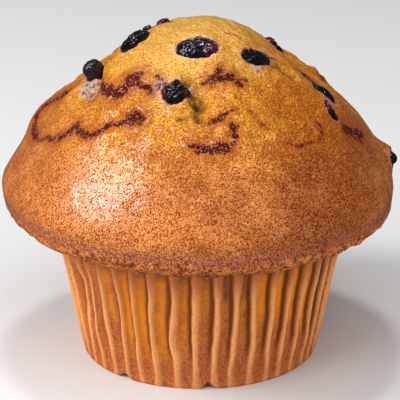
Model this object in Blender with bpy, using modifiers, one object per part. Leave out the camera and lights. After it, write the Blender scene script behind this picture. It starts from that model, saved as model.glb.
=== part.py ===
"""A large berry muffin in its pleated paper liner.

The cake is one solid: a round stem inside the liner, under a wide browned top that hangs over
the liner's edge. Each berry that shows sits in a socket in the top. Metres, +Z up, with the
origin in the middle of the liner's flat base and the front towards -Y.
"""
import math

import bmesh
import bpy
import numpy as np
from mathutils import Matrix, Vector
from mathutils.bvhtree import BVHTree

# Driving dimensions, in metres.
CLEARANCE = 0.0003           # left between pieces that touch

LINER_BASE_RADIUS = 0.0286   # over the ridges of the pleats
LINER_TOP_RADIUS = 0.0344    # over the ridges of the pleats
LINER_HEIGHT = 0.0307
LINER_CORNER = 0.0009        # round between the base and the wall
LINER_WALL_ROWS = 2
PAPER_THICKNESS = 0.0003
PLEATS = 44
PLEAT_DEPTH_AT_BASE = 0.0008
PLEAT_DEPTH_AT_TOP = 0.0016

PEAK_HEIGHT = 0.0801
WIDEST_RADIUS = 0.0459
WIDEST_HEIGHT = 0.0418
TOP_STEPS = 64               # facets around the cake
STEPS_A_SPAN = 2             # facets between two points of the outline
FADE_FROM = 0.0335           # the top's lumps fade out between these heights
FADE_TO = 0.0390

# The top's outline as (radius, height), from the peak over the widest rim to the lip's underside.
TOP_OUTLINE = (
    (0.0, PEAK_HEIGHT), (0.0050, 0.0797), (0.0096, 0.0782), (0.0152, 0.0749), (0.0212, 0.0702),
    (0.0284, 0.0647), (0.0344, 0.0590), (0.0388, 0.0532), (0.0422, 0.0486),
    (0.0447, 0.0448), (WIDEST_RADIUS, WIDEST_HEIGHT), (0.0457, 0.0390), (0.0452, 0.0367),
    (0.0438, 0.0351), (0.0400, 0.0333), (0.0347, LINER_HEIGHT + 2 * CLEARANCE),
)

# Broad lumps (+) and hollows (-): degrees round from the front, height, spread, rise.
LUMPS = (
    (-60, 0.0700, 0.0065, 0.0013),    # burst lobe beside the proud berry
    (-38, 0.0735, 0.0060, 0.0006),
    (-71, 0.0660, 0.0030, -0.0010),   # hollow under the proud berry
    (-100, 0.0548, 0.0060, 0.0017),   # shoulder on the left
    (-97, 0.0480, 0.0055, -0.0005),
    (-90, 0.0430, 0.0130, 0.0003),
    (-110, 0.0697, 0.0045, -0.0015),
    (-112, 0.0797, 0.0035, -0.0009),
    (-25, 0.0560, 0.0090, -0.0004),
    (-14, 0.0660, 0.0050, -0.0006),
    (18, 0.0660, 0.0060, 0.0007),
    (20, 0.0760, 0.0055, 0.0005),
    (32, 0.0540, 0.0090, 0.0005),
    (60, 0.0690, 0.0060, 0.0006),
    (92, 0.0745, 0.0040, 0.0004),
    (108, 0.0652, 0.0034, 0.0008),
    (97, 0.0545, 0.0060, 0.0006),
    (94, 0.0464, 0.0034, 0.0024),     # crust pushed out by the berry at the rim
    (95, 0.0400, 0.0080, -0.0004),
    (116, 0.0692, 0.0055, -0.0021),   # dip behind the right of the peak
    (128, 0.0660, 0.0070, 0.0012),
    (150, 0.0520, 0.0100, -0.0006),
    (165, 0.0720, 0.0060, 0.0009),
    (-160, 0.0640, 0.0070, -0.0009),
    (-135, 0.0690, 0.0065, 0.0012),
    (-128, 0.0500, 0.0090, 0.0006),
    (-170, 0.0440, 0.0100, 0.0006),
)

# Splits in the crust: points as (degrees round, height), half width, depth.
SPLITS = (
    (((-98, 0.0690), (-72, 0.0672), (-61, 0.0652)), 0.0016, 0.0016),
    (((-8, 0.0708), (0, 0.0690), (-1, 0.0668)), 0.0017, 0.0014),
    (((-14, 0.0652), (-8, 0.0640)), 0.0018, 0.0007),
    (((150, 0.0735), (168, 0.0700), (-178, 0.0650), (-172, 0.0620)), 0.0017, 0.0015),
    (((112, 0.0670), (120, 0.0630), (135, 0.0615)), 0.0016, 0.0012),
)

# Berries as node name: degrees round, height of the crust there, length, width, thickness,
# turn of the length from level, and how far the berry stands out of the crust.
BERRIES = {
    "berry_middle": (-4, 0.0769, 0.0098, 0.0062, 0.0048, 0, 0.0008),
    "berry_right": (51, 0.0741, 0.0078, 0.0047, 0.0044, -28, 0.0007),
    "berry_front": (-14, 0.0695, 0.0060, 0.0056, 0.0050, 20, 0.0012),
    "berry_proud": (-83, 0.0683, 0.0050, 0.0049, 0.0051, 0, 0.0038),
    "berry_upper_left": (-80, 0.0751, 0.0046, 0.0074, 0.0041, 0, 0.0022),
    "berry_small_left": (-106, 0.0766, 0.0030, 0.0024, 0.0024, 0, 0.0009),
    "berry_crest": (-116, 0.0782, 0.0044, 0.0032, 0.0030, 0, 0.0009),
    "berry_right_crest": (104, 0.0735, 0.0034, 0.0028, 0.0030, 40, 0.0012),
    "berry_right_upper": (80, 0.0641, 0.0031, 0.0064, 0.0038, 6, 0.0009),
    "berry_right_lower": (71, 0.0616, 0.0027, 0.0056, 0.0034, -10, 0.0006),
    "berry_rim": (93, 0.0454, 0.0042, 0.0034, 0.0038, 0, 0.0013),
    "berry_back_peak": (160, 0.0746, 0.0066, 0.0052, 0.0046, 15, 0.0008),
    "berry_back_left": (-142, 0.0706, 0.0054, 0.0050, 0.0050, 0, 0.0018),
    "berry_back_middle": (178, 0.0622, 0.0056, 0.0052, 0.0050, -20, 0.0014),
    "berry_back_right": (132, 0.0694, 0.0070, 0.0046, 0.0044, 25, 0.0008),
}
BERRY_SEGMENTS = 10
BERRY_RINGS = 7


def new_collection(name):
    collection = bpy.data.collections.new(name)
    bpy.context.scene.collection.children.link(collection)
    return collection


def plain_material(name, colour, roughness):
    """Principled material of one colour."""
    material = bpy.data.materials.new(name)
    material.use_nodes = True
    shader = material.node_tree.nodes["Principled BSDF"]
    shader.inputs["Base Color"].default_value = (*colour, 1.0)
    shader.inputs["Roughness"].default_value = roughness
    shader.inputs["Metallic"].default_value = 0.0
    return material


def smooth_line(points, steps):
    """Catmull-Rom curve through the points, with its mirror image before the first one, so
    that it leaves the axis level."""
    p = np.array(points)
    p = np.vstack([p[1] * (-1, 1), p, 2 * p[-1] - p[-2]])
    t = np.arange(steps)[:, None] / steps
    spans = [0.5 * (2 * b + (c - a) * t + (2 * a - 5 * b + 4 * c - d) * t**2
                    + (3 * b - 3 * c + d - a) * t**3)
             for a, b, c, d in zip(p, p[1:], p[2:], p[3:])]
    return np.vstack([*spans, p[-2]])


def turned_mesh(name, profile, steps):
    """Mesh of a profile of (radius, height), from top to bottom, turned about the Z axis."""
    lines = bpy.data.meshes.new(name)
    points = [(radius, 0.0, height) for radius, height in profile]
    lines.from_pydata(points, [(i, i + 1) for i in range(len(points) - 1)], [])
    holder = bpy.data.objects.new(name, lines)
    bpy.context.scene.collection.objects.link(holder)
    screw = holder.modifiers.new("turn", "SCREW")
    screw.steps = screw.render_steps = steps
    screw.use_merge_vertices = True
    screw.merge_threshold = 0.00001
    evaluated = holder.evaluated_get(bpy.context.evaluated_depsgraph_get())
    mesh = bpy.data.meshes.new_from_object(evaluated)
    bpy.data.objects.remove(holder)
    bpy.data.meshes.remove(lines)
    mesh.name = name
    return mesh


def read_points(mesh):
    points = np.empty(len(mesh.vertices) * 3)
    mesh.vertices.foreach_get("co", points)
    return points.reshape(-1, 3)


def write_points(mesh, points):
    mesh.vertices.foreach_set("co", points.ravel())
    mesh.update()


def crust_place(degrees, height):
    """Point of the plain turned top at an angle round from the front and a height."""
    radii, heights = smooth_line(TOP_OUTLINE, 8).T
    radius = np.interp(height, heights[::-1], radii[::-1])
    angle = math.radians(degrees)
    return np.array([radius * math.sin(angle), -radius * math.cos(angle), height])


def distance_to_path(points, path):
    """Distance of each point from the nearest stretch of a path of straight runs."""
    nearest = np.full(len(points), np.inf)
    for start, end in zip(path, path[1:]):
        run = end - start
        along = np.clip((points - start) @ run / (run @ run), 0.0, 1.0)
        nearest = np.minimum(nearest, np.linalg.norm(points - start - along[:, None] * run, axis=1))
    return nearest


def crust_rise(points):
    """How far the baked top stands out of the plain turned shape: bell-shaped lumps and
    splits, and a slow waviness round the rim, all faded out above the liner."""
    angle = np.arctan2(points[:, 0], -points[:, 1])
    rise = 0.0003 * np.sin(3 * angle + 0.8) + 0.0002 * np.sin(7 * angle + points[:, 2] / 0.006)
    for degrees, height, spread, amount in LUMPS:
        away = np.linalg.norm(points - crust_place(degrees, height), axis=1)
        rise += amount * np.exp(-(away / spread) ** 2)
    for route, half_width, depth in SPLITS:
        path = [crust_place(degrees, height) for degrees, height in route]
        rise -= depth * np.exp(-(distance_to_path(points, path) / half_width) ** 2)
    fade = np.clip((points[:, 2] - FADE_FROM) / (FADE_TO - FADE_FROM), 0.0, 1.0)
    return rise * fade * fade * (3 - 2 * fade)


def make_cake_mesh():
    """Turned body of top and stem, with the top's surface moved along its normals."""
    wall = PAPER_THICKNESS + CLEARANCE
    stem_top = LINER_TOP_RADIUS - PLEAT_DEPTH_AT_TOP - wall
    stem_base = LINER_BASE_RADIUS - PLEAT_DEPTH_AT_BASE - wall
    profile = [*smooth_line(TOP_OUTLINE, STEPS_A_SPAN),
               (stem_top, LINER_HEIGHT + CLEARANCE),
               (stem_base, LINER_CORNER + wall),
               (stem_base - LINER_CORNER, wall),
               (0.0, wall)]
    mesh = turned_mesh("cake", profile, TOP_STEPS)
    points = read_points(mesh)
    normals = np.empty(points.size)
    mesh.vertices.foreach_get("normal", normals)
    write_points(mesh, points + normals.reshape(-1, 3) * crust_rise(points)[:, None])
    return mesh


def make_liner_mesh():
    """Cup turned with two facets a pleat, whose every second line is pulled in to a valley."""
    corner = [(LINER_BASE_RADIUS - LINER_CORNER + LINER_CORNER * math.cos(angle),
               LINER_CORNER - LINER_CORNER * math.sin(angle))
              for angle in (0.0, math.pi / 4, math.pi / 2)]
    rows = [step / LINER_WALL_ROWS for step in range(LINER_WALL_ROWS, 0, -1)]
    wall = [(LINER_BASE_RADIUS + (LINER_TOP_RADIUS - LINER_BASE_RADIUS) * row,
             LINER_CORNER + (LINER_HEIGHT - LINER_CORNER) * row) for row in rows]
    mesh = turned_mesh("paper_liner", [*wall, *corner, (0.0, 0.0)], 2 * PLEATS)
    points = read_points(mesh)
    angle = np.arctan2(points[:, 1], points[:, 0])
    valley = 0.5 - 0.5 * np.cos(PLEATS * angle)
    up = points[:, 2] / LINER_HEIGHT
    depth = np.interp(up, (0.0, LINER_CORNER / LINER_HEIGHT, 1.0),
                      (0.0, PLEAT_DEPTH_AT_BASE, PLEAT_DEPTH_AT_TOP))
    radius = np.maximum(np.hypot(points[:, 0], points[:, 1]), CLEARANCE)
    points[:, :2] *= (1 - valley * depth / radius)[:, None]
    write_points(mesh, points)
    return mesh


def berry_matrix(crust, degrees, height, thickness, turn, proud):
    """Place of a berry: its thickness along the crust's normal, its length turned from level,
    and its outer face that far out of the crust."""
    surface, normal, _, _ = crust.find_nearest(Vector(crust_place(degrees, height)))
    level = Vector((0.0, 0.0, 1.0)).cross(normal).normalized()
    upward = normal.cross(level)
    axes = Matrix((level, upward, normal)).transposed()
    centre = surface + normal * (proud - thickness / 2)
    return Matrix.Translation(centre) @ (axes @ Matrix.Rotation(math.radians(turn), 3, "Z")).to_4x4()


def make_ball(name, length, width, thickness, place):
    """Squashed ball with its size in its mesh and its place in its object."""
    mesh = bpy.data.meshes.new(name)
    ball = bmesh.new()
    bmesh.ops.create_uvsphere(ball, u_segments=BERRY_SEGMENTS, v_segments=BERRY_RINGS, radius=0.5)
    bmesh.ops.scale(ball, vec=(length, width, thickness), verts=ball.verts)
    ball.to_mesh(mesh)
    ball.free()
    mesh.shade_smooth()
    thing = bpy.data.objects.new(name, mesh)
    thing.matrix_world = place
    return thing


def build():
    for old in list(bpy.data.objects):
        bpy.data.objects.remove(old)
    parts = new_collection("muffin")
    cutters = new_collection("sockets")
    crumb = plain_material("baked_crumb", (0.52, 0.25, 0.07), 0.55)
    paper = plain_material("liner_paper", (0.62, 0.40, 0.20), 0.60)
    skin = plain_material("berry_skin", (0.02, 0.015, 0.03), 0.30)

    cake = bpy.data.objects.new("cake", make_cake_mesh())
    cake.data.materials.append(crumb)
    cake.data.shade_smooth()
    parts.objects.link(cake)

    shape = bmesh.new()
    shape.from_mesh(cake.data)
    crust = BVHTree.FromBMesh(shape)
    shape.free()
    for name, (degrees, height, length, width, thickness, turn, proud) in BERRIES.items():
        place = berry_matrix(crust, degrees, height, thickness, turn, proud)
        berry = make_ball(name, length, width, thickness, place)
        berry.data.materials.append(skin)
        parts.objects.link(berry)
        room = 2 * CLEARANCE
        socket = make_ball(f"{name}_socket", length + room, width + room, thickness + room, place)
        socket.hide_render = True
        socket.display_type = "WIRE"
        cutters.objects.link(socket)

    sockets = cake.modifiers.new("sockets", "BOOLEAN")
    sockets.operation = "DIFFERENCE"
    sockets.solver = "EXACT"
    sockets.operand_type = "COLLECTION"
    sockets.collection = cutters

    liner = bpy.data.objects.new("paper_liner", make_liner_mesh())
    liner.data.materials.append(paper)
    parts.objects.link(liner)
    sheet = liner.modifiers.new("paper", "SOLIDIFY")
    sheet.thickness = PAPER_THICKNESS
    sheet.offset = -1.0


build()
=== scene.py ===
"""The finish of a large berry muffin: its baked crust, its berries and its paper liner."""
import math

import bpy
import numpy as np
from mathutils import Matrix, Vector


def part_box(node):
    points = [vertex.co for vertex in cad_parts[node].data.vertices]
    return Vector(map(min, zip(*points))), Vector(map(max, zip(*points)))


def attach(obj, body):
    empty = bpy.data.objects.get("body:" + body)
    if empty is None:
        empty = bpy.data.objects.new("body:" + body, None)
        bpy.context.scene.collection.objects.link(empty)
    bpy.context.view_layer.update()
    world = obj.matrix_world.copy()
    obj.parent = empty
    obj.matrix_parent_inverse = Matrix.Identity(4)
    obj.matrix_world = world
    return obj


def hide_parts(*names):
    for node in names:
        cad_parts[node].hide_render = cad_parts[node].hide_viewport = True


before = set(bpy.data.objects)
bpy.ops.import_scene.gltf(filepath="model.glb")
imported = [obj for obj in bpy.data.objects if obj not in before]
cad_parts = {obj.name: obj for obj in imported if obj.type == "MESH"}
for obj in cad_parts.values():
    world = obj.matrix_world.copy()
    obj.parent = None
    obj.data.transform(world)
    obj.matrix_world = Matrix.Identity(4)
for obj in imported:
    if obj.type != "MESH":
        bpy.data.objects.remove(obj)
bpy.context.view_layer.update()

# ---- Cake -------------------------------------------------------------------------------
# One baked body of light crumb: a stem inside the liner and a domed top that rose over its
# edge. The batter set round the rim first, so the rim is smooth, brown and fine-grained,
# and the middle burst late and is golden, rough and split, with fruit juice baked on it.

TOP_OUTLINE = (   # (radius, height) from the peak over the widest rim to the lip's underside
    (0.0, 0.0801), (0.0050, 0.0797), (0.0096, 0.0782), (0.0152, 0.0749), (0.0212, 0.0702),
    (0.0284, 0.0647), (0.0344, 0.0590), (0.0388, 0.0532), (0.0422, 0.0486), (0.0447, 0.0448),
    (0.0459, 0.0418), (0.0457, 0.0390), (0.0452, 0.0367), (0.0438, 0.0351), (0.0400, 0.0333),
    (0.0347, 0.0313),
)
STEM_OUTLINE = ((0.0306, 0.0310), (0.0266, 0.0020), (0.0258, 0.0008))
# Each pair is two heights, and the change named goes from none at the first to all at the second.
LIP_HEIGHTS = (0.0335, 0.0390)       # plain where the liner starts, uneven above
TORN_HEIGHTS = (0.0300, 0.0325)      # torn, crumbly batter starts under the lip
TORN_ENDS = (0.0355, 0.0385)         # and ends above it
GOLD_HEIGHTS = (0.0490, 0.0670)      # brown crust turns golden
BURST_HEIGHTS = (0.0570, 0.0620)     # the smooth rim gives way to the burst middle
SUMMIT_HEIGHTS = (0.0680, 0.0750)    # golden crust turns pale
LUMPS = (         # degrees round from the front, height, spread, rise
    (-60, 0.0700, 0.0065, 0.0013),
    (-38, 0.0735, 0.0060, 0.0006),
    (-71, 0.0660, 0.0030, -0.0010),
    (-100, 0.0548, 0.0060, 0.0017),
    (-97, 0.0480, 0.0055, -0.0005),
    (-90, 0.0430, 0.0130, 0.0003),
    (-110, 0.0697, 0.0045, -0.0015),
    (-112, 0.0797, 0.0035, -0.0009),
    (-25, 0.0560, 0.0090, -0.0004),
    (-14, 0.0660, 0.0050, -0.0006),
    (18, 0.0660, 0.0060, 0.0007),
    (20, 0.0760, 0.0055, 0.0005),
    (32, 0.0540, 0.0090, 0.0005),
    (60, 0.0690, 0.0060, 0.0006),
    (92, 0.0745, 0.0040, 0.0004),
    (108, 0.0652, 0.0034, 0.0008),
    (97, 0.0545, 0.0060, 0.0006),
    (94, 0.0464, 0.0034, 0.0024),
    (95, 0.0400, 0.0080, -0.0004),
    (116, 0.0692, 0.0055, -0.0021),
    (128, 0.0660, 0.0070, 0.0012),
    (150, 0.0520, 0.0100, -0.0006),
    (165, 0.0720, 0.0060, 0.0009),
    (-160, 0.0640, 0.0070, -0.0009),
    (-135, 0.0690, 0.0065, 0.0012),
    (-128, 0.0500, 0.0090, 0.0006),
    (-170, 0.0440, 0.0100, 0.0006),
)
SPLITS = (        # route as (degrees round, height), half width, depth
    (((-96, 0.0702), (-84, 0.0693), (-74, 0.0682), (-67, 0.0668), (-63, 0.0652)), 0.0012, 0.0016),
    (((-76, 0.0668), (-70, 0.0660)), 0.0013, 0.0012),
    (((-7, 0.0708), (-4, 0.0697), (0, 0.0685), (0, 0.0672)), 0.0021, 0.0013),
    (((-7, 0.0694), (-3, 0.0681), (-1, 0.0672), (-2, 0.0662), (1, 0.0650)), 0.0008, 0.0016),
    (((-2, 0.0681), (4, 0.0679)), 0.0007, 0.0010),
    (((-10, 0.0655), (-6, 0.0657)), 0.0009, 0.0007),
    (((47, 0.0786), (55, 0.0783), (58, 0.0776)), 0.0006, 0.0006),
    (((58, 0.0720), (66, 0.0714), (67, 0.0690)), 0.0009, 0.0011),
    (((148, 0.0738), (158, 0.0727), (162, 0.0708), (173, 0.0690)), 0.0008, 0.0014),
    (((173, 0.0690), (174, 0.0668), (-177, 0.0648)), 0.0008, 0.0014),
    (((-177, 0.0648), (-177, 0.0634), (-171, 0.0620)), 0.0005, 0.0008),
    (((112, 0.0670), (114, 0.0650), (121, 0.0638), (126, 0.0622), (135, 0.0615)), 0.0007, 0.0010),
    (((-148, 0.0748), (-154, 0.0735), (-151, 0.0720), (-158, 0.0705)), 0.0006, 0.0007),
)
JUICE = (         # streaks of baked juice: route as (degrees round, height), half width, faintness
    (((-90, 0.0636), (-93, 0.0611), (-97, 0.0580), (-94, 0.0552)), 0.0011, 0.25),
    (((-94, 0.0552), (-86, 0.0536), (-80, 0.0538)), 0.0010, 0.05),
    (((-80, 0.0538), (-76, 0.0540), (-68, 0.0557), (-63, 0.0570)), 0.0006, 0.15),
    (((-63, 0.0570), (-59, 0.0590), (-58, 0.0605)), 0.0009, 0.0),
    (((-58, 0.0605), (-54, 0.0597), (-51, 0.0596), (-47, 0.0600)), 0.0008, 0.05),
    (((-47, 0.0600), (-44, 0.0614), (-43, 0.0623), (-41, 0.0632)), 0.0008, 0.05),
    (((-41, 0.0632), (-37, 0.0632), (-33, 0.0644)), 0.0005, 0.05),
    (((-33, 0.0644), (-31, 0.0652), (-28, 0.0649)), 0.0012, -0.05),
    (((-66, 0.0675), (-62, 0.0673), (-57, 0.0674), (-50, 0.0674)), 0.0012, 0.0),
    (((-50, 0.0674), (-46, 0.0682), (-44, 0.0700), (-41, 0.0708)), 0.0013, 0.05),
    (((-41, 0.0700), (-37, 0.0698), (-32, 0.0694), (-29, 0.0689)), 0.0010, 0.15),
    (((-30, 0.0716), (-24, 0.0709)), 0.0006, 0.10),
    (((1, 0.0715), (7, 0.0716)), 0.0003, 0.0),
    (((7, 0.0716), (11, 0.0717), (17, 0.0719)), 0.0011, -0.10),
    (((13, 0.0728), (16, 0.0722), (20, 0.0717)), 0.0010, -0.10),
    (((20, 0.0717), (24, 0.0704)), 0.0006, -0.05),
    (((20, 0.0715), (25, 0.0713), (30, 0.0711)), 0.0003, 0.0),
    (((-4, 0.0610), (1, 0.0611), (3, 0.0606)), 0.0007, 0.0),
    (((0, 0.0597), (3, 0.0600), (6, 0.0601)), 0.0008, 0.05),
    (((4, 0.0600), (7, 0.0604), (10, 0.0603)), 0.0010, -0.05),
    (((10, 0.0603), (12, 0.0609), (14, 0.0620)), 0.0007, 0.05),
    (((14, 0.0629), (14, 0.0636)), 0.0007, 0.05),
    (((5, 0.0644), (9, 0.0649), (11, 0.0655)), 0.0007, 0.05),
    (((12, 0.0657), (16, 0.0661)), 0.0005, 0.05),
    (((24, 0.0656), (25, 0.0640), (27, 0.0631)), 0.0004, 0.25),
    (((35, 0.0600), (38, 0.0588), (44, 0.0586), (52, 0.0590), (56, 0.0596)), 0.0004, 0.22),
    (((56, 0.0612), (57, 0.0600)), 0.0005, 0.20),
    (((71, 0.0578), (76, 0.0558), (80, 0.0545)), 0.0018, 0.25),
    (((84, 0.0680), (80, 0.0655)), 0.0010, 0.20),
    (((-176, 0.0690), (-168, 0.0680), (-160, 0.0686), (-152, 0.0670)), 0.0010, 0.0),
    (((118, 0.0590), (128, 0.0578), (139, 0.0586), (150, 0.0580), (163, 0.0592)), 0.0007, 0.05),
    (((-128, 0.0620), (-120, 0.0600), (-112, 0.0606), (-104, 0.0590)), 0.0009, 0.05),
    (((172, 0.0575), (-178, 0.0565), (-170, 0.0572)), 0.0011, 0.0),
    (((100, 0.0640), (108, 0.0632), (114, 0.0640)), 0.0008, 0.05),
)
# The browner patches on the right side are also painted shade: they darken the side turned away
# from the light.
SHADES = (        # browner (+) and paler (-) patches: degrees round, height, spread, amount
    (-98, 0.0600, 0.0060, 0.30),
    (-90, 0.0460, 0.0080, 0.12),
    (-38, 0.0510, 0.0110, -0.28),
    (-12, 0.0425, 0.0060, -0.30),
    (10, 0.0480, 0.0090, 0.05),
    (30, 0.0420, 0.0090, 0.22),
    (36, 0.0580, 0.0090, 0.34),
    (45, 0.0480, 0.0130, 0.34),
    (70, 0.0500, 0.0150, 0.16),
    (56, 0.0630, 0.0090, 0.40),
    (44, 0.0670, 0.0060, 0.15),
    (80, 0.0590, 0.0080, 0.50),
    (92, 0.0730, 0.0050, 0.30),
    (-4, 0.0560, 0.0050, 0.12),
    (-22, 0.0600, 0.0034, 0.50),
    (-60, 0.0560, 0.0050, 0.10),
    (18, 0.0640, 0.0040, -0.15),
    (0, 0.0740, 0.0100, -0.25),
    (-60, 0.0725, 0.0070, -0.12),
    (130, 0.0560, 0.0110, 0.25),
    (175, 0.0480, 0.0120, -0.20),
    (-150, 0.0600, 0.0090, 0.22),
    (-120, 0.0430, 0.0090, 0.18),
)
BROWNED_SUMMIT = (  # where the pale summit is browner: degrees round, height, spread, share
    (64, 0.0725, 0.0120, 0.85),
    (-75, 0.0725, 0.0120, 0.55),
)
STAINS = (        # purple that ran out of burst berries: route, half width
    (((-69, 0.0670), (-66, 0.0660), (-65, 0.0652)), 0.0004),
    (((-92, 0.0692), (-78, 0.0684)), 0.0004),
    (((-26, 0.0700), (-22, 0.0706)), 0.0004),
    (((8, 0.0764), (10, 0.0770)), 0.0005),
    (((64, 0.0736), (68, 0.0728)), 0.0002),
    (((-150, 0.0690), (-146, 0.0680)), 0.0004),
)
TEARS = (         # torn pale crumb stained by berries: degrees round, height, spread
    (-77, 0.0664, 0.0022),
    (-74, 0.0652, 0.0014),
    (45, 0.0724, 0.0013),
    (64, 0.0745, 0.0010),
    (-152, 0.0688, 0.0020),
)
BERRIES = {       # length, width, thickness, turn from level, proud of the crust, dusty bloom,
                  # share of its length that burst open (at its left end where negative)
    "berry_middle": (0.0098, 0.0062, 0.0048, 0, 0.0008, 0.0, 0.32),
    "berry_right": (0.0078, 0.0047, 0.0044, -28, 0.0007, 0.0, 0.08),
    "berry_front": (0.0060, 0.0056, 0.0050, 20, 0.0012, 0.0, -0.12),
    "berry_proud": (0.0050, 0.0049, 0.0051, 0, 0.0038, 0.5, 0.0),
    "berry_upper_left": (0.0046, 0.0074, 0.0041, 0, 0.0022, 0.0, 0.0),
    "berry_small_left": (0.0030, 0.0024, 0.0024, 0, 0.0009, 0.1, 0.0),
    "berry_crest": (0.0044, 0.0032, 0.0030, 0, 0.0009, 0.0, 1.0),
    "berry_right_crest": (0.0034, 0.0028, 0.0030, 40, 0.0012, 0.0, 1.0),
    "berry_right_upper": (0.0031, 0.0064, 0.0038, 6, 0.0009, 0.1, 0.0),
    "berry_right_lower": (0.0027, 0.0056, 0.0034, -10, 0.0006, 0.0, 0.55),
    "berry_rim": (0.0042, 0.0034, 0.0038, 0, 0.0013, 0.3, 0.35),
    "berry_back_peak": (0.0066, 0.0052, 0.0046, 15, 0.0008, 0.0, 0.25),
    "berry_back_left": (0.0054, 0.0050, 0.0050, 0, 0.0018, 0.5, 0.0),
    "berry_back_middle": (0.0056, 0.0052, 0.0050, -20, 0.0014, 0.1, -0.25),
    "berry_back_right": (0.0070, 0.0046, 0.0044, 25, 0.0008, 0.0, 0.30),
}
FAR_WIDTHS = 4.0           # half widths from juice or a split past which it doesn't matter
FAR_FROM_BERRY = 0.004     # distance past which a berry doesn't stain the crust
SOCKET_REACH = 0.006       # how far along the crust's normal a berry's hole counts
CAKE_COLUMNS = 440
TOP_ROWS = 204
STEM_ROWS = 18


def smooth_line(points, steps):
    """Catmull-Rom curve: each span is the cubic through its two points whose slopes there are
    half the step from the point before to the point after. The first point is mirrored in
    the axis, so that the curve leaves the axis level."""
    p = np.array(points)
    p = np.vstack([p[1] * (-1, 1), p, 2 * p[-1] - p[-2]])
    t = np.arange(steps)[:, None] / steps
    spans = [0.5 * (2 * b + (c - a) * t + (2 * a - 5 * b + 4 * c - d) * t**2
                    + (3 * b - 3 * c + d - a) * t**3)
             for a, b, c, d in zip(p, p[1:], p[2:], p[3:])]
    return np.vstack([*spans, p[-2]])


def even_line(line, count):
    """The same line with that many points at equal distances along it."""
    along = np.concatenate([[0.0], np.cumsum(np.linalg.norm(np.diff(line, axis=0), axis=1))])
    places = np.linspace(0.0, along[-1], count)
    return np.stack([np.interp(places, along, line[:, k]) for k in range(2)], axis=1)


def crust_place(degrees, height):
    """Point of the plain turned top: radius from the outline at that height, at that angle."""
    radii, heights = smooth_line(TOP_OUTLINE, 8).T
    radius = np.interp(height, heights[::-1], radii[::-1])
    angle = math.radians(degrees)
    return np.array([radius * math.sin(angle), -radius * math.cos(angle), height])


def distance_to_route(points, route):
    """Distance of each point from the nearest straight run between the route's places, whose
    middle points are put back on the turned top."""
    fine = []
    for (a, low), (b, high) in zip(route, route[1:]):
        turn = (b - a + 180) % 360 - 180
        fine += [crust_place(a + turn * s, low + (high - low) * s) for s in (0.0, 0.25, 0.5, 0.75)]
    fine.append(crust_place(*route[-1]))
    nearest = np.full(len(points), np.inf)
    for start, end in zip(fine, fine[1:]):
        run = end - start
        along = np.clip((points - start) @ run / (run @ run), 0.0, 1.0)
        nearest = np.minimum(nearest, np.linalg.norm(points - start - along[:, None] * run, axis=1))
    return nearest


def soft_step(value, low, high):
    """0 below low, 1 above high, and 3t^2 - 2t^3 between."""
    t = np.clip((value - low) / (high - low), 0.0, 1.0)
    return t * t * (3 - 2 * t)


def cloud(points, size, seed):
    """Value noise from -1 to 1: random numbers on a lattice of that size, blended between the
    eight corners round each point with soft steps."""
    table = np.random.default_rng(seed).uniform(-1.0, 1.0, (32, 32, 32))
    place = points / size + 64.0
    cell = np.floor(place).astype(int)
    part = place - cell
    part = part * part * (3 - 2 * part)
    total = np.zeros(len(points))
    for corner in np.ndindex(2, 2, 2):
        weight = np.prod(np.where(corner, part, 1 - part), axis=1)
        x, y, z = ((cell + corner) % 32).T
        total += weight * table[x, y, z]
    return total


def wander(points):
    """Points pushed about a little, so that what follows a route across them isn't straight."""
    push = np.stack([cloud(points, 0.0032, seed) for seed in (31, 32, 33)], axis=1)
    return points + 0.0007 * push


def berry_frame(name):
    """Centre, axes (level, up the slope, out of the crust) and half sizes of a berry's node."""
    low, high = (np.array(corner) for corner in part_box(name))
    centre = (low + high) / 2
    line = smooth_line(TOP_OUTLINE, 16)
    radius = math.hypot(centre[0], centre[1])
    near = np.argmin(np.hypot(line[:, 0] - radius, line[:, 1] - centre[2]))
    near = min(max(near, 1), len(line) - 2)
    down = line[near + 1] - line[near - 1]
    down /= np.linalg.norm(down)
    out = np.array([centre[0], centre[1]]) / radius
    normal = np.array([out[0] * -down[1], out[1] * -down[1], down[0]])
    level = np.array([-out[1], out[0], 0.0])
    slope = np.cross(normal, level)
    length, width, thickness, turn, proud = BERRIES[name][:5]
    cos, sin = math.cos(math.radians(turn)), math.sin(math.radians(turn))
    axes = np.array([level * cos + slope * sin, slope * cos - level * sin, normal])
    return centre, axes, np.array([length, width, thickness]) / 2, proud


def crust_rise(points):
    """How far the baked top stands out of the plain turned shape: bell-shaped lumps, splits and
    a slow waviness round the rim, as in the solid, faded out above the liner."""
    angle = np.arctan2(points[:, 0], -points[:, 1])
    rise = 0.0003 * np.sin(3 * angle + 0.8) + 0.0002 * np.sin(7 * angle + points[:, 2] / 0.006)
    rise *= soft_step(np.hypot(points[:, 0], points[:, 1]), 0.0, 0.0240)
    for degrees, height, spread, amount in LUMPS:
        away = np.linalg.norm(points - crust_place(degrees, height), axis=1)
        rise += amount * np.exp(-(away / spread) ** 2)
    ragged = 1 + 0.35 * cloud(points, 0.0018, 17) + 0.15 * cloud(points, 0.0009, 18)
    bent = wander(points)
    for route, half_width, depth in SPLITS:
        rise -= depth * np.exp(-(ragged * distance_to_route(bent, route) / half_width) ** 2)
    return rise * soft_step(points[:, 2], *LIP_HEIGHTS)


def ring_faces(rows, columns):
    """Quads of a grid whose columns close round the axis, facing out when its rows run down."""
    upper = np.arange((rows - 1) * columns).reshape(rows - 1, columns)
    right = np.roll(upper, -1, axis=1)
    return np.stack([upper, upper + columns, right + columns, right], axis=-1).reshape(-1, 4)


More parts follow.
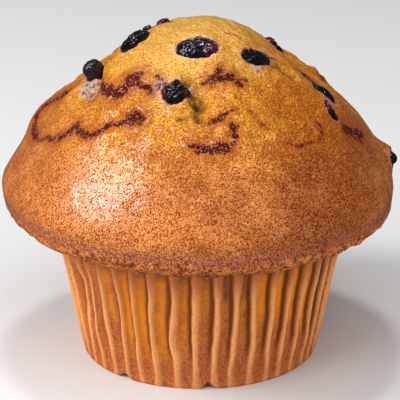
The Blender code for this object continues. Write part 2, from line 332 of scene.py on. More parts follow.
def closed_mesh(name, grid, top, bottom):
    """Mesh of a grid of points (row, column, 3) that closes round the axis, with a fan of
    triangles to a point at each end."""
    rows, columns = grid.shape[:2]
    points = np.vstack([grid.reshape(-1, 3), top, bottom])
    around = np.arange(columns)
    after = np.roll(around, -1)
    last = (rows - 1) * columns
    pole = rows * columns
    fans = [np.stack([np.full(columns, pole), around, after], axis=1),
            np.stack([np.full(columns, pole + 1), last + after, last + around], axis=1)]
    mesh = bpy.data.meshes.new(name)
    mesh.from_pydata(points.tolist(), [], ring_faces(rows, columns).tolist()
                     + fans[0].tolist() + fans[1].tolist())
    mesh.shade_smooth()
    return mesh


def paint(mesh, name, values):
    """Store one number a vertex, for the material to read."""
    layer = mesh.attributes.new(name, "FLOAT", "POINT")
    layer.data.foreach_set("value", np.asarray(values, dtype=np.float32))


def place_piece(mesh, slot, *nodes):
    """Object at the origin for a finished mesh, riding on the muffin and standing for nodes."""
    piece = bpy.data.objects.new(mesh.name, mesh)
    bpy.context.scene.collection.objects.link(piece)
    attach(piece, "root")
    if nodes:
        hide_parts(*nodes)
    return piece


class Wire:
    """One value in a material's node tree. Sums on it add Math nodes."""

    def __init__(self, tree, socket=None):
        self.tree = tree
        self.socket = socket

    def node(self, kind, settings, inputs, output=0):
        """Add a node: its settings first, then values or wires on its sockets."""
        node = self.tree.nodes.new(kind)
        for key, value in settings.items():
            setattr(node, key, value)
        for key, value in inputs.items():
            if isinstance(value, Wire):
                self.tree.links.new(value.socket, node.inputs[key])
            else:
                node.inputs[key].default_value = value
        return Wire(self.tree, node.outputs[output])

    def math(self, operation, *values):
        return self.node("ShaderNodeMath", {"operation": operation}, dict(enumerate(values)))

    def __add__(self, other):
        return self.math("ADD", self, other)

    def __sub__(self, other):
        return self.math("SUBTRACT", self, other)

    def __rsub__(self, other):
        return self.math("SUBTRACT", other, self)

    def __mul__(self, other):
        return self.math("MULTIPLY", self, other)

    __radd__ = __add__
    __rmul__ = __mul__

    def step(self, low, high):
        """Soft step from 0 at low to 1 at high."""
        return self.node("ShaderNodeMapRange", {"interpolation_type": "SMOOTHSTEP"},
                         {"Value": self, "From Min": low, "From Max": high})

    def layer(self, name):
        return self.node("ShaderNodeAttribute", {"attribute_name": name}, {}, 2)

    def place(self):
        return self.node("ShaderNodeTexCoord", {}, {}, 3)

    def noise(self, size, detail=2.0, rough=0.5):
        """Fractal noise from 0 to 1 with features of that size in metres."""
        return self.node("ShaderNodeTexNoise", {}, {"Vector": self.place(), "Scale": 1 / size,
                                                    "Detail": detail, "Roughness": rough})

    def mix(self, factor, first, second):
        """Blend of two colours."""
        ends = [end if isinstance(end, Wire) else (*end, 1.0) for end in (first, second)]
        return self.node("ShaderNodeMix", {"data_type": "RGBA"},
                         {0: factor, 6: ends[0], 7: ends[1]}, 2)


def new_material(name):
    """Material with a Principled shader, and a wire to start its sums from."""
    material = bpy.data.materials.new(name)
    material.use_nodes = True
    return material, material.node_tree.nodes["Principled BSDF"], Wire(material.node_tree)


def plug(shader, name, wire):
    wire.tree.links.new(wire.socket, shader.inputs[name])


def relief(wire, height, depth, normal=None):
    """Bump of a height from 0 to 1 that stands for that depth in metres."""
    inputs = {"Height": height, "Distance": depth}
    if normal is not None:
        inputs["Normal"] = normal
    return wire.node("ShaderNodeBump", {}, inputs)


def make_cake():
    """Outline turned round the axis: x = r sin a, y = -r cos a. Each point then moves along the
    outline's normal by the lumps and splits, by three sizes of roughness where the top burst,
    by crumbs of torn batter under the lip, and down into a hole under each berry."""
    top = even_line(smooth_line(TOP_OUTLINE, 12), TOP_ROWS + 1)
    stem = even_line(np.array([TOP_OUTLINE[-1], *STEM_OUTLINE]), STEM_ROWS + 1)
    line = np.vstack([top, stem[1:]])
    slope = np.gradient(line, axis=0)
    slope /= np.linalg.norm(slope, axis=1)[:, None]
    angle = np.arange(CAKE_COLUMNS) * 2 * math.pi / CAKE_COLUMNS
    sin, cos = np.sin(angle), -np.cos(angle)
    radius, level = line[1:, :1], line[1:, 1:]
    outward, drop = slope[1:, :1], slope[1:, 1:]
    grid = np.stack([radius * sin, radius * cos, level + 0 * sin], axis=-1)
    normal = np.stack([-drop * sin, -drop * cos, outward + 0 * sin], axis=-1)
    points, normal = grid.reshape(-1, 3), normal.reshape(-1, 3)

    height = points[:, 2]
    wide = cloud(points, 0.0100, 3)
    burst = soft_step(height + 0.0025 * wide, *BURST_HEIGHTS)
    golden = height + 0.0030 * wide + 0.0015 * cloud(points, 0.0045, 4)
    gold = soft_step(golden, *GOLD_HEIGHTS)
    summit = soft_step(height + 0.0015 * wide, *SUMMIT_HEIGHTS)
    for degrees, level, spread, amount in BROWNED_SUMMIT:
        away = np.linalg.norm(points - crust_place(degrees, level), axis=1)
        summit *= 1 - amount * np.exp(-(away / spread) ** 2)
    # Browner and paler patches; on the right side the browner ones are also painted shade.
    shade = 0.42 + 0.14 * cloud(points, 0.0070, 13) + 0.10 * cloud(points, 0.0030, 14)
    for degrees, level, spread, amount in SHADES:
        away = np.linalg.norm(points - crust_place(degrees, level), axis=1)
        shade += amount * np.exp(-(away / spread) ** 2)
    bent = wander(points)
    juice = np.full(len(points), FAR_WIDTHS)
    for route, half_width, faint in JUICE:
        juice = np.minimum(juice, distance_to_route(bent, route) / half_width + faint)
    split = np.full(len(points), FAR_WIDTHS)
    for route, half_width, _ in SPLITS:
        split = np.minimum(split, distance_to_route(bent, route) / half_width)

    rise = crust_rise(points)
    rough = (0.00044 * cloud(points, 0.0050, 5) + 0.00036 * cloud(points, 0.0024, 6)
             + 0.00020 * cloud(points, 0.0012, 7)) * (1 - 0.5 * summit)
    fine = (0.00014 * cloud(points, 0.0060, 8) + 0.00005 * cloud(points, 0.0022, 9)
            + 0.00005 * cloud(points, 0.0012, 10))
    on_top = soft_step(height, *LIP_HEIGHTS)
    rise += on_top * (burst * rough + (1 - burst) * fine)
    rise -= 0.00012 * np.exp(-juice ** 2)
    crumbly = soft_step(height, *TORN_HEIGHTS) * (1 - soft_step(height, *TORN_ENDS))
    rise += crumbly * (0.00045 * cloud(points, 0.0024, 15) + 0.00035 * cloud(points, 0.0012, 16))

    berry = np.full(len(points), FAR_FROM_BERRY)
    for name in BERRIES:
        centre, axes, half, proud = berry_frame(name)
        local = (points - centre) @ axes.T
        ragged = 1 + 0.12 * cloud(points, 0.0016, 21) + 0.05 * cloud(points, 0.0007, 22)
        reach = np.hypot(local[:, 0] / half[0], local[:, 1] / half[1]) * ragged
        near = np.abs(local[:, 2]) < SOCKET_REACH
        sunk = max(0.0, half[2] - proud)
        rise -= near * 0.9 * sunk * (1 - soft_step(reach, 0.80, 0.98))
        rise += near * 0.00018 * np.exp(-((reach - 1.12) / 0.12) ** 2)
        outside = np.maximum(reach - 0.95, 0) * half[:2].mean()
        outside = np.where(near, outside, FAR_FROM_BERRY)
        berry = np.minimum(berry, outside)
    for route, half_width in STAINS:
        berry = np.minimum(berry, np.maximum(distance_to_route(points, route) - half_width, 0.0003))
    lilac = np.zeros(len(points))
    for degrees, level, spread in TEARS:
        away = np.linalg.norm(points - crust_place(degrees, level), axis=1)
        lilac = np.maximum(lilac, np.exp(-(away / spread) ** 2))

    points = points + normal * rise[:, None]
    mesh = closed_mesh("muffin_cake", points.reshape(-1, CAKE_COLUMNS, 3),
                       (0.0, 0.0, line[0, 1] + 0.0002), (0.0, 0.0, line[-1, 1]))
    paint(mesh, "gold", [*gold, 1, 0])
    paint(mesh, "summit", [*summit, 1, 0])
    paint(mesh, "shade", [*shade, 0.3, 0.5])
    paint(mesh, "juice", [*juice / FAR_WIDTHS, 1, 1])
    paint(mesh, "split", [*split / FAR_WIDTHS, 1, 1])
    paint(mesh, "berry", [*berry / FAR_FROM_BERRY, 1, 1])
    paint(mesh, "lilac", [*lilac, 0, 0])
    return mesh


def crust_material():
    """Baked crust. Golden where it burst, orange brown where it set first, each paler or browner
    in patches, the browner ones on the right side also painted shade. Its buttery skin shines
    between fine dark pores, has painted glints where it burst and on the juice, has painted shade
    in its splits, and is wet round the berries."""
    material, shader, w = new_material("crust")
    gold, summit, shade, juice, split, berry, lilac = (
        w.layer(name) for name in ("gold", "summit", "shade", "juice", "split", "berry", "lilac"))
    height = w.node("ShaderNodeSeparateXYZ", {}, {0: w.place()}, 2)
    grain = w.noise(0.00035, 1.0, 0.6)
    coarse = w.noise(0.0012, 3.0, 0.65)
    patch = w.noise(0.0040, 3.0)

    # The ground: orange-brown rim, golden middle, pale summit, a reddish band and torn crumb below.
    # Browner and paler patches; on the right side the browner ones are also painted shade.
    shade = shade + (coarse - 0.5) * (1.0 + 0.9 * gold) + (patch - 0.5) * (1.1 + 0.7 * gold)
    smooth_rim = w.mix(shade.step(0.0, 1.0), (0.57, 0.160, 0.014), (0.250, 0.047, 0.002))
    burst_top = w.mix(shade.step(0.0, 1.0), (0.62, 0.260, 0.014), (0.330, 0.060, 0.000))
    colour = w.mix(gold, smooth_rim, burst_top)
    colour = w.mix(summit * 0.8, colour, (0.64, 0.370, 0.064))
    wavy = height + (patch - 0.5) * 0.003 + (coarse - 0.5) * 0.002
    band = wavy.step(0.0374, 0.0380) - wavy.step(0.0396, 0.0404)
    colour = w.mix(band * 0.75, colour, (0.330, 0.066, 0.036))
    under = 1 - wavy.step(0.0372, 0.0380)
    torn = w.mix((coarse + (grain - 0.5) * 0.4).step(0.38, 0.56), (0.085, 0.016, 0.004),
                 (0.64, 0.190, 0.046))
    colour = w.mix(under * 0.85, colour, torn)

    # The grain: dark pores, pale beads of crust, painted glints, and painted shade in the splits.
    uneven = grain + (coarse - 0.5) * 0.5
    pores = 1 - uneven.step(0.36, 0.48)
    pit = w.mix(shade.step(0.2, 1.0), (0.170, 0.026, 0.002), (0.065, 0.007, 0.000))
    pit = w.mix(gold, pit, (0.300, 0.056, 0.000))
    colour = w.mix(pores * (0.95 - 0.50 * summit), colour, pit)
    beads = uneven.step(0.52, 0.64)
    bead = w.mix(shade.step(0.1, 0.9), (0.73, 0.36, 0.170), (0.54, 0.185, 0.034))
    bead = w.mix(gold, bead, (0.84, 0.38, 0.024))
    bead = w.mix(summit, bead, (0.84, 0.54, 0.220))
    colour = w.mix(beads * (0.62 - 0.25 * summit) * (1 - 0.7 * under), colour, bead)
    # Painted glints: pale specks for light sparkling on the crust, most where it burst, fewer on
    # browner parts.
    painted_glint = w.noise(0.00060, 1.0).step(0.66, 0.72) * (0.25 + 0.75 * gold) * (1 - under)
    painted_glint = painted_glint * (1 - 0.7 * shade.step(0.3, 1.0))
    colour = w.mix(painted_glint * 0.75, colour, (0.95, 0.66, 0.34))
    # Painted shade in the splits: olive brown, and darkest along their middle.
    split_shade = split + (coarse - 0.5) * 0.45 + (grain - 0.5) * 0.15
    colour = w.mix((1 - split_shade.step(0.15, 0.40)) * 0.80, colour, (0.36, 0.150, 0.004))
    colour = w.mix((1 - split_shade.step(0.00, 0.22)) * 0.85, colour, (0.110, 0.032, 0.001))

    # The fruit: streaks of juice with a browned halo and painted glints on their dark core, lilac
    # tears and purple round the berries.
    ragged = juice + (coarse - 0.5) * 0.55 + (grain - 0.5) * 0.35
    halo = 1 - ragged.step(0.20, 1.10)
    core = 1 - ragged.step(0.14, 0.36)
    colour = w.mix(halo * 0.75, colour, (0.30, 0.050, 0.002))
    colour = w.mix(core * 0.95, colour, (0.090, 0.005, 0.001))
    # Painted glints: pale pink specks on the dark core of the juice.
    colour = w.mix(core * uneven.step(0.60, 0.66) * 0.50, colour, (0.90, 0.52, 0.42))
    stained = w.mix((coarse + (grain - 0.5) * 0.2).step(0.40, 0.50), (0.140, 0.022, 0.055),
                    (0.42, 0.30, 0.22))
    colour = w.mix((lilac + (coarse - 0.5) * 0.8).step(0.20, 0.55) * 0.85, colour, stained)
    near = berry + (coarse - 0.5) * 0.30 + (grain - 0.5) * 0.15
    colour = w.mix((1 - (near + patch - 0.5).step(0.05, 0.30)) * 0.40, colour, (0.50, 0.33, 0.28))
    colour = w.mix((1 - near.step(0.02, 0.16)) * 0.90, colour, (0.130, 0.010, 0.045))
    colour = w.mix((1 - near.step(0.00, 0.08)) * 0.95, colour, (0.010, 0.002, 0.005))
    plug(shader, "Base Color", colour)
    plug(shader, "Metallic", core * 0.5)
    plug(shader, "Roughness", 0.34 + 0.50 * w.math("MAXIMUM", pores, core))
    shader.inputs["Specular IOR Level"].default_value = 0.26
    wet = 1 - (near - 0.12).step(0.00, 0.20)
    gloss = (1 - core) * (0.66 - 0.52 * gold + 0.40 * beads)
    gloss = w.math("MAXIMUM", gloss, wet)
    plug(shader, "Coat Weight", (1 - pores) * (1 - under) * gloss)
    shader.inputs["Coat Roughness"].default_value = 0.26
    broad = relief(w, coarse * (1 + 0.9 * gold), 0.00040)
    plug(shader, "Normal", relief(w, grain, 0.00016, broad))
    return material


cake = place_piece(make_cake(), "baked_crumb", "cake")
cake.data.materials.append(crust_material())

# ---- Berries ----------------------------------------------------------------------------
# Small wild berries, baked until their skins wrinkled or burst. Each sits in its own hole in
# the crust, most of them wet with juice, and the proud one still has its dull bloom.

BERRY_ROWS = 40
BERRY_COLUMNS = 64


def make_berry(name):
    """Ball with polar angle p and turn a: x = sin p cos a, y = sin p sin a, z = cos p. Its crown
    is flattened by raising |z| to a power below one, and it is stretched to the half sizes.
    Folds are one minus the size of noise on its directions, sharpened."""
    centre, axes, half, _ = berry_frame(name)
    bloom, burst = BERRIES[name][5:]
    polar = np.linspace(0, math.pi, BERRY_ROWS + 2)[1:-1, None]
    turn = np.arange(BERRY_COLUMNS) * 2 * math.pi / BERRY_COLUMNS
    ball = np.stack([np.sin(polar) * np.cos(turn), np.sin(polar) * np.sin(turn),
                     np.cos(polar) + 0 * turn], axis=-1).reshape(-1, 3)
    ball = np.vstack([ball, (0, 0, 1), (0, 0, -1)])
    seed = sum(map(ord, name))
    folds = (1 - np.abs(cloud(ball, 0.60, seed + 1))) ** 5
    swell = 1.02 + 0.06 * cloud(ball, 0.9, seed) - (1 - bloom) * 0.22 * folds
    swell += (1 - bloom) * 0.04 * cloud(ball, 0.30, seed + 2)
    flat = 1.0 if bloom > 0.5 else 0.70
    ball[:, 2] = np.sign(ball[:, 2]) * np.abs(ball[:, 2]) ** flat
    points = centre + (ball * swell[:, None] * half) @ axes
    grid = points[:-2].reshape(BERRY_ROWS, BERRY_COLUMNS, 3)
    mesh = closed_mesh(f"fruit_{name}", grid, points[-2], points[-1])
    end = math.copysign(1, burst) * ball[:, 0] + 0.25 * cloud(ball, 0.5, seed + 3)
    paint(mesh, "open", soft_step(end, 0.8 - 2 * abs(burst), 1.1 - 2 * abs(burst)) * (burst != 0))
    return mesh


def berry_material(name, bloom):
    """Berry skin: black, with grey bloom where it is dry, and purple flesh where it is open."""
    material, shader, w = new_material(name)
    patch = w.noise(0.0011, 3.0)
    speck = w.noise(0.0004, 2.0)
    flesh = w.mix(patch.step(0.40, 0.66), (0.018, 0.002, 0.007), (0.130, 0.010, 0.036))
    colour = w.mix(patch.step(0.56, 0.74) * 0.5, (0.0030, 0.0028, 0.0032), (0.060, 0.004, 0.022))
    colour = w.mix(w.layer("open"), colour, flesh)
    colour = w.mix(speck.step(0.35, 0.70) * bloom * 0.5, colour, (0.050, 0.052, 0.054))
    plug(shader, "Base Color", colour)
    plug(shader, "Roughness", 0.10 + 0.34 * bloom + 0.10 * speck)
    shader.inputs["Specular IOR Level"].default_value = 0.5
    bump = relief(w, w.noise(0.0012, 2.0, 0.5), 0.00040 * (1 - bloom) + 0.00004)
    plug(shader, "Normal", bump)
    return material


for name, (*_, bloom, _) in BERRIES.items():
    berry = place_piece(make_berry(name), "berry_skin", name)
    berry.data.materials.append(berry_material(f"{name}_skin", bloom))

# ---- Paper liner ------------------------------------------------------------------------
# A cup pressed from one disc of greaseproof paper into fine pleats. Butter has soaked the
# valleys, which turn amber and let the cake show through; the dry ridges stay pale tan.

LINER_BASE_RADIUS = 0.0286
LINER_TOP_RADIUS = 0.0344
LINER_HEIGHT = 0.0307
LINER_CORNER = 0.0009
PAPER = 0.00016
PLEATS = 44
FIRST_RIDGE = 6.0        # degrees round from the front
POINTS_A_PLEAT = 14
LINER_COLUMNS = PLEATS * POINTS_A_PLEAT
WALL_ROWS = 44
BASE_RINGS = ((0.0262,), (0.0245,), (0.020,), (0.010,))   # radii of the flat base's inner rings
KINKS = (         # where a pleat leans: degrees round, height, lean, spread round and up
    (-12, 0.0120, -1.6, 3.0, 0.0045),
    (-11, 0.0240, 0.8, 3.0, 0.0060),
    (-22, 0.0160, -1.6, 9.0, 0.0200),
    (-30, 0.0070, -1.0, 3.0, 0.0035),
    (-36, 0.0200, 1.2, 3.0, 0.0050),
    (6, 0.0200, 0.8, 3.0, 0.0080),
    (15, 0.0040, -1.0, 3.0, 0.0040),
    (22, 0.0280, -1.2, 4.0, 0.0080),
    (24, 0.0100, 1.0, 4.0, 0.0060),
    (32, 0.0040, 1.2, 4.0, 0.0050),
    (57, 0.0060, 1.5, 5.0, 0.0060),
    (-57, 0.0210, 5.0, 5.0, 0.0070),
    (-50, 0.0130, -3.0, 4.0, 0.0060),
    (100, 0.0180, 2.0, 4.0, 0.0060),
    (131, 0.0090, -2.0, 4.0, 0.0060),
    (165, 0.0220, 1.8, 4.0, 0.0050),
    (-160, 0.0120, -2.2, 4.0, 0.0060),
    (-118, 0.0180, 2.0, 4.0, 0.0070),
)
CRUMPLE = (-57, 0.018, 11, 0.010)   # a crushed place: degrees round, height, spread round and up
FOOT_LIFTS = (    # where the foot curls off the table: degrees round, rise, spread round
    (4, 0.0018, 2.4),
    (-38, 0.0012, 2.8),
    (150, 0.0012, 3.0),
)
FRUIT_BEHIND = (  # where fruit shows through the paper: degrees round, height, spread round and up
    (9.5, 0.0275, 1.4, 0.0022),
    (10.5, 0.0245, 1.2, 0.0014),
    (17.5, 0.0270, 1.3, 0.0020),
    (17.0, 0.0238, 1.2, 0.0014),
    (126, 0.0140, 2.0, 0.0024),
)
BUTTER = (        # where butter soaked in most: degrees round, height, spread round and up, amount
    (-44, 0.0220, 4.0, 0.0060, 0.4),
    (-29, 0.0180, 9.0, 0.0110, 0.6),
    (-15, 0.0190, 3.5, 0.0110, 0.3),
    (-6, 0.0180, 2.5, 0.0110, 0.2),
    (31, 0.0240, 8.0, 0.0070, 0.6),
    (44, 0.0230, 5.0, 0.0080, 0.6),
    (53, 0.0180, 4.0, 0.0110, 0.5),
    (84, 0.0160, 9.0, 0.0100, 0.5),
    (118, 0.0220, 12.0, 0.0070, 0.6),
    (150, 0.0150, 7.0, 0.0110, 0.5),
    (-172, 0.0200, 9.0, 0.0090, 0.6),
    (-140, 0.0180, 8.0, 0.0100, 0.5),
    (-108, 0.0230, 10.0, 0.0080, 0.6),
    (-80, 0.0160, 8.0, 0.0100, 0.4),
)


def make_liner():
    """Cup whose radius grows with height; it is pulled in by depth x (1 - ridge), where ridge is
    half of one plus the cosine of the pleat angle, raised to a power that widens the ridges
    towards the top edge. Kinks and noise lean the pleats, and they fade above the base."""
    wall = np.linspace(1, 0, WALL_ROWS)[:, None]
    radius = LINER_BASE_RADIUS + (LINER_TOP_RADIUS - LINER_BASE_RADIUS) * wall
    height = LINER_CORNER + (LINER_HEIGHT - LINER_CORNER) * wall
    turn = np.linspace(0, math.pi / 2, 6)[1:, None]
    radius = np.vstack([radius, LINER_BASE_RADIUS - LINER_CORNER * (1 - np.cos(turn)),
                        BASE_RINGS])
    height = np.vstack([height, LINER_CORNER * (1 - np.sin(turn)), np.zeros((len(BASE_RINGS), 1))])
    angle = np.arange(LINER_COLUMNS) * 2 * math.pi / LINER_COLUMNS
    flat = np.stack([radius * np.sin(angle), -radius * np.cos(angle), height + 0 * angle], axis=-1)
    points = flat.reshape(-1, 3)
    rows = len(radius)

    degrees = np.degrees(angle)
    lean = 0.5 * cloud(points * (1, 1, 0.7), 0.0060, 31) + 0.25 * cloud(points, 0.0026, 32)
    lean = lean.reshape(rows, -1) + 0.9 * np.sin(angle + 0.05) + 0.35 * np.sin(3 * angle)
    for place, level, shift, around, up in KINKS:
        away = (degrees - place + 180) % 360 - 180
        lean = lean + shift * np.exp(-(away / around) ** 2 - ((height - level) / up) ** 2)
    phase = PLEATS * np.radians(degrees - FIRST_RIDGE - lean)
    folded = 0.55 * soft_step(-np.cos(angle + 2.2), -0.4, 0.6)
    phase = phase - folded + folded * np.cos(phase)
    crisp = np.interp(height, (0.0, 0.006, 0.022, LINER_HEIGHT), (2.0, 3.4, 3.8, 1.3))
    crisp = crisp * (1 + 0.3 * cloud(points, 0.0070, 35).reshape(rows, -1))
    ridge = (0.5 + 0.5 * np.cos(phase)) ** crisp
    uneven = cloud(points, 0.0085, 33).reshape(rows, -1)
    place, level, around, up = CRUMPLE
    away = (degrees - place + 180) % 360 - 180
    crumple = np.exp(-(away / around) ** 2 - ((height - level) / up) ** 2)
    levels = (0.0, LINER_CORNER, 0.004, LINER_HEIGHT)
    depth = np.interp(height, levels, (0.0, 0.0004, 0.0011, 0.0017))
    depth = depth * (1 + 0.25 * uneven) * (1 - 0.6 * crumple)
    crease = cloud(points * (1, 1, 1.6), 0.0016, 34).reshape(rows, -1)
    folds = 1 - np.abs(cloud(points * (1, 1, 1.4), 0.0045, 36).reshape(rows, -1))
    inward = depth * (1 - ridge) + (height > 0.0001) * (
        0.00012 * (1 + uneven) + 0.00008 * (1 + crease) + 0.0008 * crumple * folds)
    flat[..., :2] *= (1 - inward / np.maximum(radius, 0.005))[..., None]
    for place, rise, spread in FOOT_LIFTS:
        away = (degrees - place + 180) % 360 - 180
        lift = rise * np.exp(-(away / spread) ** 2) * np.exp(-height / 0.0035)
        flat[..., 2] += lift * (radius > BASE_RINGS[0][0])
    mesh = bpy.data.meshes.new("muffin_paper")
    around = np.arange(LINER_COLUMNS)
    last = (rows - 1) * LINER_COLUMNS
    base = np.stack([np.full(LINER_COLUMNS, rows * LINER_COLUMNS), last + np.roll(around, -1),
                     last + around], axis=1)
    mesh.from_pydata([*flat.reshape(-1, 3).tolist(), (0, 0, 0)], [],
                     ring_faces(rows, LINER_COLUMNS).tolist() + base.tolist())
    mesh.shade_smooth()
    # Painted light: amber is laid more on one flank of every pleat, for the glow of light through
    # the soaked paper there, over the paper's own uneven soaking.
    side = 0.5 + 0.5 * np.sin(phase)
    amber = 0.10 + 0.30 * side + 0.20 * uneven
    for place, level, around, up, amount in BUTTER:
        away = (degrees - place + 180) % 360 - 180
        amber = amber + amount * np.exp(-(away / around) ** 2 - ((height - level) / up) ** 2)
    amber = amber * soft_step(height, 0.002, 0.008)
    # Painted shade: the valley is darkened in the fold beside each ridge, where the pleat shades
    # it.
    corner = (1 - side) ** 2 * (1 - ridge) * (0.4 + folded) * soft_step(height, 0.004, 0.012)
    fruit = np.zeros(ridge.shape)
    for place, level, around, up in FRUIT_BEHIND:
        away = (degrees - place + 180) % 360 - 180
        fruit = np.maximum(fruit, np.exp(-(away / around) ** 2 - ((height - level) / up) ** 2))
    paint(mesh, "ridge", [*ridge.ravel(), 0])
    paint(mesh, "amber", [*amber.ravel(), 0])
    paint(mesh, "fruit", [*(fruit * (1 - ridge)).ravel(), 0])
    paint(mesh, "corner", [*corner.ravel(), 0])
    return mesh


def paper_material():
    """Greased paper: amber where it clings to the cake, and more on one flank of each pleat as a
    painted glow of light through it; pinkish brown where it stayed drier, and pale on the ridges,
    with mottling from the crumb behind it and fine fibres. Painted shade darkens the folds beside
    the ridges, and painted shadow the top edge under the overhanging cake."""
    material, shader, w = new_material("liner")
    ridge, amber, fruit, corner = (w.layer(name) for name in ("ridge", "amber", "fruit", "corner"))
    height = w.node("ShaderNodeSeparateXYZ", {}, {0: w.place()}, 2)
    patch = w.noise(0.0035, 3.0)
    fibre = w.noise(0.0005, 3.0, 0.7)
    soaked = (amber + (patch - 0.5) * 0.9 + (fibre - 0.5) * 0.3).step(0.15, 0.95)
    dry = w.mix(fibre.step(0.35, 0.60), (0.27, 0.060, 0.014), (0.49, 0.140, 0.040))
    valley = w.mix(soaked, dry, (0.72, 0.215, 0.010))
    # Painted shade in the folds beside the ridges.
    valley = w.mix(corner.step(0.0, 0.9), valley, (0.17, 0.040, 0.004))
    # Painted shadow: the valleys darken towards the top edge, under the overhanging cake.
    valley = w.mix(height.step(0.0270, 0.0305) * 0.75, valley, (0.20, 0.052, 0.008))
    valley = w.mix(fruit * 0.95, valley, (0.075, 0.050, 0.045))
    # Painted shadow: the ridges turn a duskier pinkish brown towards the top edge, under the
    # overhanging cake.
    crest = w.mix(height.step(0.022, 0.030), (0.83, 0.360, 0.130), (0.50, 0.145, 0.055))
    crest = w.mix((1 - height.step(0.002, 0.008)) * 0.5, crest, (0.58, 0.190, 0.070))
    crest = w.mix((1 - fibre.step(0.40, 0.60)) * 0.30, crest, (0.40, 0.105, 0.018))
    colour = w.mix(ridge.step(0.20, 0.90), valley, crest)
    plug(shader, "Base Color", colour)
    plug(shader, "Roughness", 0.50 + 0.10 * ridge)
    shader.inputs["Specular IOR Level"].default_value = 0.12
    plug(shader, "Normal", relief(w, fibre, 0.00007))
    return material


liner = place_piece(make_liner(), "liner_paper", "paper_liner")
liner.data.materials.append(paper_material())
sheet = liner.modifiers.new("paper", "SOLIDIFY")
sheet.thickness = PAPER
sheet.offset = -1.0

# ---- Crumbs -----------------------------------------------------------------------------
# Loose crumbs of the torn underside, caught where the top meets the edge of the paper.

CRUMB_COUNT = 520
CRUMB_RING = (0.0337, 0.0305)    # radius and height of the ring that the crumbs are strewn on


def make_crumbs():
    """Twelve-cornered grains (golden rectangles) with random sizes, turns and stretches, strewn
    on a ring round the top edge of the liner."""
    rng = np.random.default_rng(41)
    g = (1 + math.sqrt(5)) / 2
    corner = np.array([(-1, g, 0), (1, g, 0), (-1, -g, 0), (1, -g, 0), (0, -1, g), (0, 1, g),
                       (0, -1, -g), (0, 1, -g), (g, 0, -1), (g, 0, 1), (-g, 0, -1), (-g, 0, 1)])
    corner /= np.linalg.norm(corner[0])
    edge = np.linalg.norm(corner[0] - corner[1]) * 1.01
    near = np.linalg.norm(corner[:, None] - corner, axis=2) < edge
    face = [(a, b, c) for a in range(12) for b in range(a + 1, 12) for c in range(b + 1, 12)
            if near[a, b] and near[b, c] and near[a, c]]
    face = [(a, b, c) if np.linalg.det(corner[[a, b, c]]) > 0 else (a, c, b) for a, b, c in face]
    size = rng.uniform(0.00016, 0.00048, CRUMB_COUNT) * rng.uniform(0.7, 1.3, CRUMB_COUNT)
    grain = corner * rng.uniform(0.6, 1.25, (CRUMB_COUNT, 12, 1))
    grain = grain * rng.uniform(0.7, 1.3, (CRUMB_COUNT, 1, 3))
    angle = rng.uniform(0, 2 * math.pi, CRUMB_COUNT)
    up = rng.uniform(0, 1, CRUMB_COUNT) ** 1.5
    radius = CRUMB_RING[0] + 0.0016 * up + rng.uniform(-0.0003, 0.0003, CRUMB_COUNT)
    height = CRUMB_RING[1] + 0.0010 * up + rng.uniform(-0.0004, 0.0003, CRUMB_COUNT)
    centre = np.stack([radius * np.sin(angle), -radius * np.cos(angle), height], axis=1)
    points = (grain * size[:, None, None] + centre[:, None]).reshape(-1, 3)
    faces = (np.array(face) + 12 * np.arange(CRUMB_COUNT)[:, None, None]).reshape(-1, 3)
    mesh = bpy.data.meshes.new("muffin_crumbs")
    mesh.from_pydata(points.tolist(), [], faces.tolist())
    return mesh


def crumb_material():
    """Browned crumb, from orange to dark brown."""
    material, shader, w = new_material("crumb")
    tone = w.noise(0.0015, 2.0)
    colour = w.mix(tone.step(0.35, 0.65), (0.16, 0.045, 0.012), (0.46, 0.16, 0.045))
    plug(shader, "Base Color", colour)
    plug(shader, "Roughness", 0.5 + 0.2 * tone)
    plug(shader, "Normal", relief(w, w.noise(0.0003, 2.0), 0.00006))
    return material


crumbs = place_piece(make_crumbs(), "baked_crumb")
crumbs.data.materials.append(crumb_material())

# ---- Floor, light and camera ------------------------------------------------------------
# Plain pale floor, lights high on the left and above that show the gloss, and soft fills.

LOOK_AT = Vector((0.0, 0.0, 0.0360))
CAMERA_ELEVATION = math.radians(20.5)
CAMERA_DISTANCE = 0.5
CAMERA_LENS = 190.4

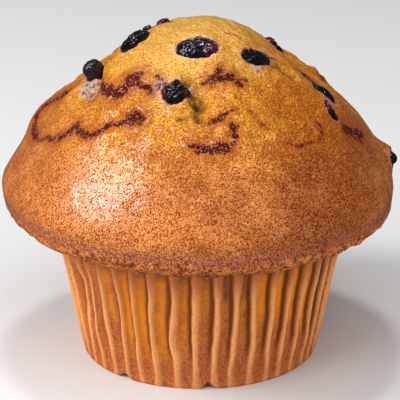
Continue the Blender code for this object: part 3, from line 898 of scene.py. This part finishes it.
floor_mesh = bpy.data.meshes.new("floor")
floor_mesh.from_pydata([(-3, -3, 0), (3, -3, 0), (3, 3, 0), (-3, 3, 0)], [], [(0, 1, 2, 3)])
floor = bpy.data.objects.new("floor", floor_mesh)
bpy.context.scene.collection.objects.link(floor)
pale, pale_shader, _ = new_material("pale_floor")
pale_shader.inputs["Base Color"].default_value = (0.66, 0.66, 0.66, 1.0)
pale_shader.inputs["Roughness"].default_value = 1.0
floor.data.materials.append(pale)
floor.visible_glossy = False


def add_light(name, direction, distance, size, power, shine):
    """Square soft light aimed at the muffin from a direction; a fill gives no shine of its own."""
    data = bpy.data.lights.new(name, "AREA")
    data.size = size
    data.energy = power
    lamp = bpy.data.objects.new(name, data)
    away = Vector(direction).normalized()
    lamp.location = LOOK_AT + away * distance
    lamp.rotation_euler = away.to_track_quat("Z", "Y").to_euler()
    lamp.visible_glossy = shine
    bpy.context.scene.collection.objects.link(lamp)


add_light("key", (-0.69, -0.16, 0.71), 0.80, 0.26, 4.2, True)
add_light("top", (-0.02, 0.12, 0.98), 0.80, 0.10, 1.8, True)
add_light("front", (-0.78, -0.54, 0.30), 1.00, 0.70, 7.0, False)
add_light("fill", (0.22, -0.52, 0.83), 1.20, 1.20, 8.4, False)
add_light("side", (0.90, -0.42, 0.06), 1.20, 1.20, 10.0, False)

world = bpy.data.worlds.new("studio")
world.use_nodes = True
world.node_tree.nodes["Background"].inputs["Color"].default_value = (1.0, 1.0, 1.0, 1.0)
world.node_tree.nodes["Background"].inputs["Strength"].default_value = 0.08
bpy.context.scene.world = world
bpy.context.scene.view_settings.view_transform = "Standard"

camera = bpy.data.objects.new("camera", bpy.data.cameras.new("camera"))
camera.data.lens = CAMERA_LENS
camera.data.sensor_width = 36.0
camera.location = LOOK_AT + CAMERA_DISTANCE * Vector(
    (0.0, -math.cos(CAMERA_ELEVATION), math.sin(CAMERA_ELEVATION)))
camera.rotation_euler = (math.pi / 2 - CAMERA_ELEVATION, 0.0, 0.0)
bpy.context.scene.collection.objects.link(camera)
bpy.context.scene.camera = camera
